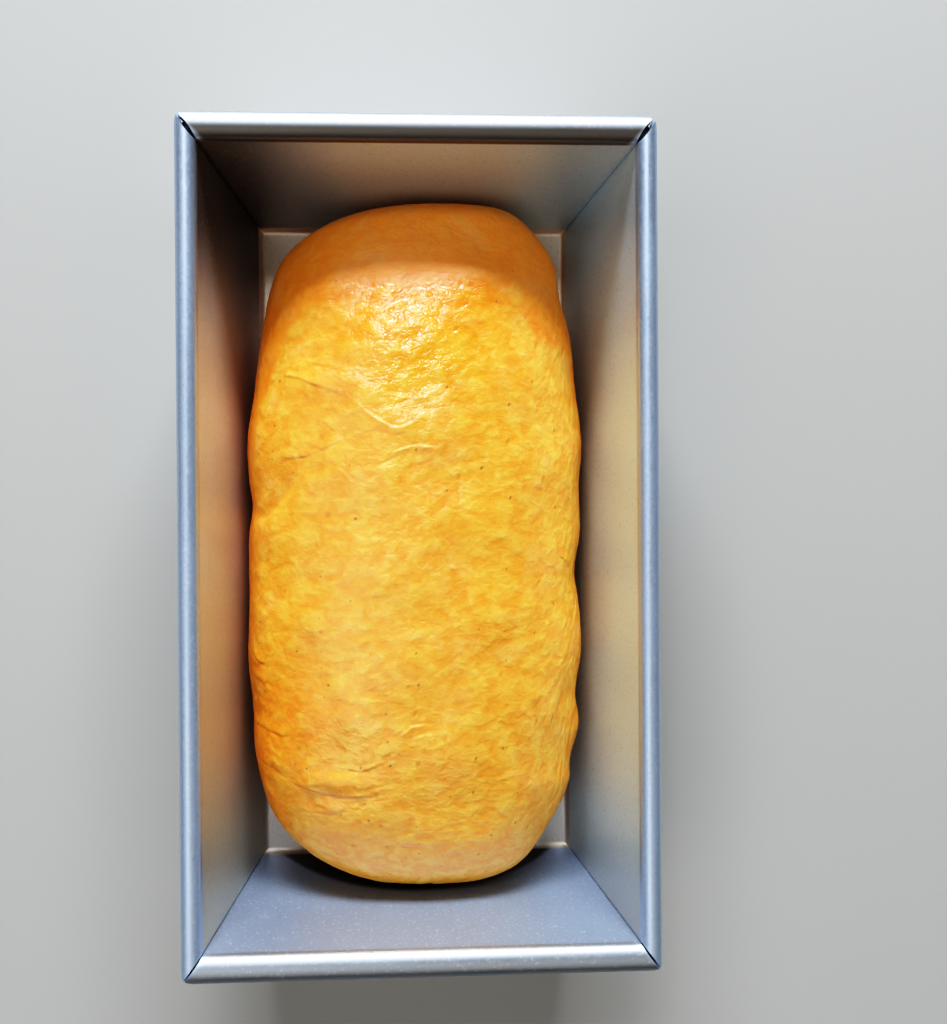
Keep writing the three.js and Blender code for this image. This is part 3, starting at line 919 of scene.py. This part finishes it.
def make_dough():
    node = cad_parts["dough"]
    take(node)
    bpy.ops.object.duplicate()
    dough = bpy.context.object
    dough.name = "dough_loaf"
    dough.parent = None
    for key in list(dough.keys()):
        del dough[key]
    dough.data = dough.data.copy()
    dough.data.name = "dough_loaf"
    merge_points(dough, SAME_POINT)
    take(dough)
    bpy.ops.object.mode_set(mode="EDIT")
    bpy.ops.mesh.select_all(action="SELECT")
    bpy.ops.mesh.tris_convert_to_quads(
        face_threshold=math.radians(60), shape_threshold=math.radians(60)
    )
    finish_editing()
    apply_modifier(dough, "SUBSURF", levels=1, render_levels=1)
    pick(dough, lambda co: co.z > FINE_ABOVE)
    bpy.ops.mesh.subdivide(number_cuts=2)
    bpy.ops.mesh.vertices_smooth(factor=0.5, repeat=SMOOTHING_TURNS)
    finish_editing()
    pick(dough, by_an_overlap)
    bpy.ops.mesh.subdivide(number_cuts=1)
    finish_editing()
    press_skin(dough)
    take(dough)
    bpy.ops.object.shade_smooth()
    return dough


# Materials


def new_material(name):
    material = bpy.data.materials.new(name)
    material.use_nodes = True
    nodes = material.node_tree.nodes
    nodes.clear()
    shader = nodes.new("ShaderNodeBsdfPrincipled")
    output = nodes.new("ShaderNodeOutputMaterial")
    material.node_tree.links.new(shader.outputs["BSDF"], output.inputs["Surface"])
    return material, shader


class Recipe:
    """Adds nodes to one node tree and joins them up, so that a finish reads as its steps."""

    def __init__(self, tree):
        self.tree = tree

    def add(self, kind, **settings):
        node = self.tree.nodes.new(kind)
        for key, value in settings.items():
            setattr(node, key, value)
        return node

    def feed(self, socket, value):
        if isinstance(value, bpy.types.NodeSocket):
            self.tree.links.new(value, socket)
        else:
            socket.default_value = value

    def math(self, operation, first, second=0.0, clamp=False):
        node = self.add("ShaderNodeMath", operation=operation, use_clamp=clamp)
        self.feed(node.inputs[0], first)
        self.feed(node.inputs[1], second)
        return node.outputs[0]

    def ramp(self, value, low, high, to_low=0.0, to_high=1.0):
        node = self.add("ShaderNodeMapRange", interpolation_type="SMOOTHSTEP")
        self.feed(node.inputs["Value"], value)
        node.inputs["From Min"].default_value = low
        node.inputs["From Max"].default_value = high
        node.inputs["To Min"].default_value = to_low
        node.inputs["To Max"].default_value = to_high
        return node.outputs[0]

    def blend(self, share, first, second, mode="MIX"):
        node = self.add("ShaderNodeMix", data_type="RGBA", blend_type=mode)
        self.feed(node.inputs["Factor"], share)
        self.feed(node.inputs[6], first)
        self.feed(node.inputs[7], second)
        return node.outputs[2]

    def split(self, vector):
        parts = self.add("ShaderNodeSeparateXYZ")
        self.feed(parts.inputs[0], vector)
        return parts.outputs

    def pair(self, first, second):
        place = self.add("ShaderNodeCombineXYZ")
        self.feed(place.inputs[0], first)
        self.feed(place.inputs[1], second)
        return place.outputs[0]

    def billow(self, clouds):
        """Turns soft clouds into pillows with crisp valleys between them."""
        return self.math("ABSOLUTE", self.math("SUBTRACT", clouds, 0.5))

    def attribute(self, name, output="Fac"):
        return self.add("ShaderNodeAttribute", attribute_name=name).outputs[output]

    def dots(self, vector, density, share, size):
        """Round dots of chance sizes: how many there are, how many are left out, the largest."""
        cells = self.add("ShaderNodeTexVoronoi", feature="F1", voronoi_dimensions="2D")
        self.feed(cells.inputs["Vector"], vector)
        cells.inputs["Scale"].default_value = density
        chance = self.add("ShaderNodeSeparateColor")
        self.feed(chance.inputs[0], cells.outputs["Color"])
        radius = self.ramp(chance.outputs[0], share, 1.0, 0.0, size)
        inside = self.math("SUBTRACT", radius, cells.outputs["Distance"])
        return self.ramp(inside, 0.0, size * 0.7, 0.0, 0.85)

    def group(self, tree, vector, **inputs):
        node = self.add("ShaderNodeGroup", node_tree=tree)
        self.feed(node.inputs["Vector"], vector)
        for key, value in inputs.items():
            self.feed(node.inputs[key.replace("_", " ")], value)
        return node.outputs[0]

    def bump(self, height, distance, strength=1.0, normal=None):
        node = self.add("ShaderNodeBump")
        self.feed(node.inputs["Height"], height)
        node.inputs["Distance"].default_value = distance
        node.inputs["Strength"].default_value = strength
        if normal is not None:
            self.feed(node.inputs["Normal"], normal)
        return node.outputs["Normal"]


MOTTLE_INPUTS = {"Length": 10.0, "Width": 10.0, "Detail": 2.0, "Shift": 0.0, "Swirl": 0.0}


def make_mottle():
    """Shared by dough, steel and floor: cloudy patches of a chosen length, width and detail."""
    tree = bpy.data.node_groups.new("mottle", "ShaderNodeTree")
    tree.interface.new_socket("Vector", in_out="INPUT", socket_type="NodeSocketVector")
    for name, start in MOTTLE_INPUTS.items():
        socket = tree.interface.new_socket(name, in_out="INPUT", socket_type="NodeSocketFloat")
        socket.default_value = start
    tree.interface.new_socket("Value", in_out="OUTPUT", socket_type="NodeSocketFloat")
    steps = Recipe(tree)
    inputs = steps.add("NodeGroupInput")
    outputs = steps.add("NodeGroupOutput")
    sizes = steps.add("ShaderNodeCombineXYZ")
    steps.feed(sizes.inputs[0], inputs.outputs["Length"])
    steps.feed(sizes.inputs[1], inputs.outputs["Width"])
    steps.feed(sizes.inputs[2], inputs.outputs["Length"])
    scaled = steps.add("ShaderNodeVectorMath", operation="DIVIDE")
    steps.feed(scaled.inputs[0], inputs.outputs["Vector"])
    steps.feed(scaled.inputs[1], sizes.outputs[0])
    moved = steps.add("ShaderNodeVectorMath", operation="ADD")
    steps.feed(moved.inputs[0], scaled.outputs[0])
    steps.feed(moved.inputs[1], inputs.outputs["Shift"])
    clouds = steps.add("ShaderNodeTexNoise")
    clouds.inputs["Scale"].default_value = 1.0
    clouds.inputs["Roughness"].default_value = 0.55
    steps.feed(clouds.inputs["Vector"], moved.outputs[0])
    steps.feed(clouds.inputs["Detail"], inputs.outputs["Detail"])
    steps.feed(clouds.inputs["Distortion"], inputs.outputs["Swirl"])
    steps.feed(outputs.inputs["Value"], clouds.outputs["Fac"])
    return tree


def skin_patterns(steps, mottle):
    """The notes and patterns of the skin. The skin is laid flat straight, or along its streaks."""
    laid = steps.attribute("skin_laid", "Vector")
    across, line, along = steps.split(laid)
    flat = steps.pair(across, along)
    drawn = steps.pair(across, line)
    return {
        "laid": laid,
        "across": across,
        "along": along,
        "ripple": steps.attribute("skin_ripple"),
        "wet": steps.attribute("skin_wet"),
        "lively": steps.math("SUBTRACT", 1.0, steps.attribute("skin_calm")),
        "cloud": steps.group(mottle, flat, Length=14, Width=12, Detail=3, Shift=3),
        "patch": steps.group(mottle, flat, Length=6, Width=5, Detail=3.2, Shift=11, Swirl=0.5),
        "blot": steps.group(mottle, flat, Length=2.6, Width=2.1, Detail=2.4, Shift=21, Swirl=0.5),
        "fleck": steps.group(mottle, drawn, Length=3, Width=1.2, Detail=2, Shift=29, Swirl=0.3),
        "film": steps.group(mottle, flat, Length=1.8, Width=1.5, Detail=1, Shift=17, Swirl=1.2),
        "grain": steps.group(mottle, laid, Length=0.5, Width=0.4, Detail=2, Shift=5),
    }


def skin_colour(steps, skin):
    """The tones of the skin, from its broad tint to the dots on it, with painted light and shade
    among them.
    """
    lively = skin["lively"]
    tint = steps.attribute("skin_tint_and_painted_light")
    # Pale is partly a painted highlight, deep orange partly painted shade
    colour = steps.blend(steps.ramp(tint, 0, 1), GOLDEN_DOUGH, PALE_AND_HIGHLIGHT_DOUGH)
    colour = steps.blend(steps.ramp(tint, 0, -1), colour, ORANGE_AND_SHADED_DOUGH)
    colour = steps.blend(steps.ramp(skin["cloud"], *PEACH_CLOUDS), colour, PEACH_DOUGH)
    # The brighter near end is painted light
    colour = steps.blend(steps.ramp(skin["along"], *NEAR_END_LIGHT), colour, LIT_NEAR_DOUGH)
    # Painted shade in the hollows of the relief and painted light on its crests, over a random real
    # tone
    for name, (low, high, share) in FILM_TONES.items():
        film = steps.blend(steps.ramp(skin[name], low, high), THIN_FILM_AND_HOLLOW_SHADE, THICK_FILM_AND_CREST_LIGHT)
        share = steps.ramp(lively, 0, 1, share / 3, share)
        colour = steps.blend(share, colour, film, mode="MULTIPLY")
    fleck = steps.math("MULTIPLY", lively, steps.ramp(skin["fleck"], *FLECKS))
    colour = steps.blend(fleck, colour, OCHRE_FLECK)
    # Painted shade in the creases
    crease_shade = steps.ramp(steps.attribute("skin_crease_shade"), *CREASE_SHADE_TONES)
    colour = steps.blend(crease_shade, colour, CREASE_SHADE_BROWN)
    for density, share, size, dark in SKIN_DOTS:
        dots = steps.math("MULTIPLY", lively, steps.dots(skin["laid"], density, share, size))
        colour = steps.blend(dots, colour, dark)
    return colour


def skin_roughness(steps, skin):
    rough = steps.ramp(skin["blot"], 0.3, 0.7, *DOUGH_ROUGHNESS)
    rough = steps.math("SUBTRACT", rough, steps.ramp(skin["wet"], 0, 1, 0, WET_SHINE))
    return steps.math("ADD", rough, steps.ramp(skin["lively"], 1, 0, 0, CALM_DULLNESS))


def skin_relief(steps, skin):
    """The relief that is finer than the mesh: patches, blots, wrinkles and grain."""
    dry = steps.ramp(skin["across"], *DRY_WRINKLES)
    wrinkle = steps.math("MAXIMUM", dry, steps.ramp(skin["wet"], *WET_WRINKLES))
    wrinkle = steps.math("MULTIPLY", steps.billow(skin["film"]), wrinkle)
    wrinkle = steps.math("MULTIPLY", wrinkle, skin["lively"])
    firm = steps.math("MULTIPLY", skin["lively"], steps.ramp(skin["across"], *SOFTER_ON_LEFT))
    relief = steps.bump(skin["patch"], PATCH_RELIEF)
    relief = steps.bump(steps.math("MULTIPLY", skin["blot"], firm), BLOT_RELIEF, 1, relief)
    relief = steps.bump(wrinkle, WRINKLE_RELIEF, 1, relief)
    return steps.bump(skin["grain"], GRAIN_RELIEF, 0.5, relief)


def dough_skin(mottle):
    material, shader = new_material("dough_skin")
    steps = Recipe(material.node_tree)
    skin = skin_patterns(steps, mottle)
    steps.feed(shader.inputs["Base Color"], skin_colour(steps, skin))
    steps.feed(shader.inputs["Roughness"], skin_roughness(steps, skin))
    steps.feed(shader.inputs["Normal"], skin_relief(steps, skin))
    shader.inputs["IOR"].default_value = DOUGH_IOR
    shader.inputs["Specular IOR Level"].default_value = DOUGH_SPECULAR
    shader.inputs["Subsurface Weight"].default_value = DOUGH_GLOW
    shader.inputs["Subsurface Radius"].default_value = GLOW_REACH
    shader.inputs["Subsurface Scale"].default_value = GLOW_SIZE
    return material


def tin_places(steps):
    """Where on the tin a point lies, and masks for the parts of its walls and rim."""
    place = steps.add("ShaderNodeTexCoord").outputs["Object"]
    x, y, z = steps.split(place)
    aside = steps.math("ABSOLUTE", x)
    rim = steps.ramp(z, *RIM)
    end_rim = steps.ramp(steps.math("SUBTRACT", steps.math("ABSOLUTE", y), aside), *END_RIM)
    far_rim = steps.math("MULTIPLY", steps.ramp(y, *FAR_RIM), end_rim)
    far_rim = steps.math("MULTIPLY", far_rim, rim)
    left = steps.math("MULTIPLY", steps.ramp(x, *LEFT_WALL), steps.ramp(y, *LEFT_WALL_NEAR))
    return {
        "place": place, "x": x, "y": y, "z": z, "rim": rim, "end_rim": end_rim,
        "right": steps.ramp(x, *RIGHT_WALL),
        "left": left,
        "near": steps.ramp(steps.math("ADD", y, aside), *NEAR_WALL),
        "far": steps.ramp(steps.math("SUBTRACT", y, aside), *FAR_WALL),
        "floor": steps.ramp(z, *TIN_FLOOR),
        "inner_half": steps.math("MULTIPLY", steps.ramp(y, *RIM_INNER_HALF), far_rim),
    }


def near_shadow_mask(steps, at):
    """1 in the painted shadow on the near wall under the near end of the dough, whose upper edge is
    an arch.
    """
    square = steps.math("MULTIPLY", at["x"], at["x"])
    bow = steps.math("ADD", steps.math("MULTIPLY", square, NEAR_SHADOW_FALL_FASTER), NEAR_SHADOW_FALL)
    level = steps.math("ADD", at["z"], steps.math("MULTIPLY", square, bow))
    return steps.math("MULTIPLY", steps.ramp(level, *NEAR_SHADOW_EDGE), at["near"])


# A painted shade, darkest at a far corner and fading out away from it
def corner_shade_mask(steps, at, corner_x, corner_y, reach, share):
    off_x = steps.math("SUBTRACT", at["x"], corner_x)
    off_y = steps.math("SUBTRACT", at["y"], corner_y)
    off_x = steps.math("MULTIPLY", off_x, off_x)
    off_y = steps.math("MULTIPLY", off_y, off_y)
    gap = steps.math("SQRT", steps.math("ADD", off_x, off_y))
    return steps.ramp(gap, reach, FULL_CORNER_SHADE_AT, 0, share)


def inside_steel(steps, at, plain):
    """The walls and floor inside, with painted light and shade: walls lit or shaded by how light
    falls on each, a lit far floor, a painted shadow under the dough's near end and painted shade in
    the far corners.
    """
    colour = steps.blend(at["right"], plain, LIT_RIGHT_STEEL)
    colour = steps.blend(steps.ramp(at["y"], *NEAR_SHADE), colour, SHADED_STEEL)
    colour = steps.blend(at["left"], colour, SHADED_LEFT_STEEL)
    colour = steps.blend(at["near"], colour, SKY_TINTED_NEAR_STEEL)
    colour = steps.blend(at["far"], colour, LIT_FAR_STEEL)
    # Painted shadow under the near end of the dough
    colour = steps.blend(near_shadow_mask(steps, at), colour, SHADOW_STEEL)
    # Painted shade in the far corners
    for corner in PAINTED_CORNER_SHADE:
        colour = steps.blend(corner_shade_mask(steps, at, *corner), colour, CORNER_SHADE_STEEL)
    # The far floor is lightened: painted light
    floor = steps.blend(steps.ramp(at["y"], *FAR_FLOOR), FLOOR_STEEL, LIT_FAR_FLOOR_STEEL)
    return steps.blend(at["floor"], colour, floor)


def tin_metal(mottle):
    material, shader = new_material("tin_metal")
    steps = Recipe(material.node_tree)
    at = tin_places(steps)
    cloud = steps.group(mottle, at["place"], Length=0.03, Width=0.03, Detail=3, Shift=2)
    speckle = steps.group(mottle, at["place"], Length=0.0009, Width=0.0009, Detail=2, Shift=7)
    plain = steps.blend(steps.ramp(cloud, 0.3, 0.7), WALL_STEEL, WALL_STEEL_CLOUD)
    inside = inside_steel(steps, at, plain)
    colour = steps.blend(steps.attribute("inside"), plain, inside)
    # The end rims get the darker, painted-shade copy of the rim steel
    rim_steel = steps.blend(at["end_rim"], RIM_STEEL, SHADED_END_RIM_STEEL)
    colour = steps.blend(at["rim"], colour, rim_steel)
    colour = steps.blend(steps.ramp(speckle, 0.55, 0.75, 0, SPECKLE_SHARE), colour, STEEL_GLINT)
    colour = steps.blend(steps.ramp(speckle, 0.45, 0.25, 0, SPECKLE_SHARE), colour, STEEL_SHADE)
    # Painted dark reflection on the inner half of the far rim
    colour = steps.blend(at["inner_half"], colour, DARK_REFLECTION_RIM_STEEL)
    # The wire is painted the dark of shadow, so the mitre gaps over it read as shade
    colour = steps.blend(steps.attribute("wire"), colour, SHADOW_STEEL)
    steps.feed(shader.inputs["Base Color"], colour)
    steps.feed(shader.inputs["Metallic"], steps.ramp(at["rim"], 0, 1, WALL_METAL, RIM_METAL))
    rubbed = steps.math("ADD", at["rim"], at["floor"])
    rough = steps.ramp(cloud, 0.3, 0.7, *STEEL_ROUGHNESS)
    rough = steps.math("SUBTRACT", rough, steps.ramp(rubbed, 0, 1, 0, RUBBED_SHINE))
    uneven = steps.ramp(speckle, 0.35, 0.65, -SPECKLE_ROUGHNESS, SPECKLE_ROUGHNESS)
    steps.feed(shader.inputs["Roughness"], steps.math("ADD", rough, uneven))
    steps.feed(shader.inputs["Normal"], steps.bump(speckle, SPECKLE_RELIEF, 0.3))
    return material


def floor_paint(mottle):
    material, shader = new_material("floor_paint")
    steps = Recipe(material.node_tree)
    place = steps.add("ShaderNodeTexCoord").outputs["Object"]
    cloud = steps.group(mottle, place, Length=0.3, Width=0.3, Detail=3, Shift=1)
    steps.feed(shader.inputs["Base Color"], steps.blend(cloud, FLOOR_TONE, FLOOR_TONE_CLOUD))
    shader.inputs["Roughness"].default_value = 0.8
    return material


def dress(piece, material):
    piece.data.materials.clear()
    piece.data.materials.append(material)


# Floor, light and camera


def make_floor():
    deselect_all()
    bpy.ops.mesh.primitive_plane_add(size=FLOOR_SIZE)
    floor = bpy.context.object
    floor.name = "floor"
    return floor


def soft_box(name, place, aim, width, height, power, colour):
    light = bpy.data.lights.new(name, "AREA")
    light.shape = "RECTANGLE"
    light.size = width
    light.size_y = height
    light.energy = power
    light.color = colour
    lamp = bpy.data.objects.new(name, light)
    bpy.context.scene.collection.objects.link(lamp)
    away = Vector(place) - Vector(aim)
    turn = away.to_track_quat("Z", "Y").to_matrix().to_4x4()
    lamp.matrix_world = Matrix.Translation(place) @ turn


def from_sky(azimuth, height, distance):
    """A place at a compass turn from +Y towards +X and an angle above the floor."""
    a, h = math.radians(azimuth), math.radians(height)
    return (
        distance * math.sin(a) * math.cos(h),
        distance * math.cos(a) * math.cos(h),
        distance * math.sin(h),
    )


def light_the_scene():
    for name, (azimuth, height, distance, *box) in SOFT_LIGHTS.items():
        soft_box(name, from_sky(azimuth, height, distance), LIGHTS_AIM, *box)
    world = bpy.data.worlds.new("room")
    world.use_nodes = True
    background = world.node_tree.nodes["Background"]
    background.inputs["Color"].default_value = ROOM_TONE
    background.inputs["Strength"].default_value = ROOM_GLOW
    bpy.context.scene.world = world


def place_camera():
    camera = bpy.data.cameras.new("camera")
    camera.sensor_width = SENSOR
    camera.lens = LENS_PIXELS * SENSOR / PICTURE_HEIGHT
    stand = bpy.data.objects.new("camera", camera)
    bpy.context.scene.collection.objects.link(stand)
    turn = Matrix.Rotation(CAMERA_TURN.length, 4, CAMERA_TURN.normalized())
    stand.matrix_world = (Matrix.Translation(CAMERA_SHIFT) @ turn).inverted()
    bpy.context.scene.camera = stand


def develop_picture():
    """Sets brightness and contrast: darks a little deeper, the brightest part held back softly."""
    view = bpy.context.scene.view_settings
    view.view_transform = "Standard"
    view.exposure = EXPOSURE
    view.gamma = CONTRAST_GAMMA
    view.use_curve_mapping = True
    curve = view.curve_mapping.curves[3]
    curve.points[-1].location = (1, BRIGHTEST_SHOWN)
    for seen, shown in TONE_POINTS:
        curve.points.new(seen, shown)
    view.curve_mapping.update()


make_chart(OVERLAPS, MARK_REACH)
make_chart(FURROWS, MARK_REACH)
dough = make_dough()
tin = make_tin()

mottle = make_mottle()
dress(dough, dough_skin(mottle))
dress(tin, tin_metal(mottle))

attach(dough, "root")
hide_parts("dough")
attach(tin, "root")
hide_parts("tin")

floor = make_floor()
dress(floor, floor_paint(mottle))
light_the_scene()
place_camera()
develop_picture()
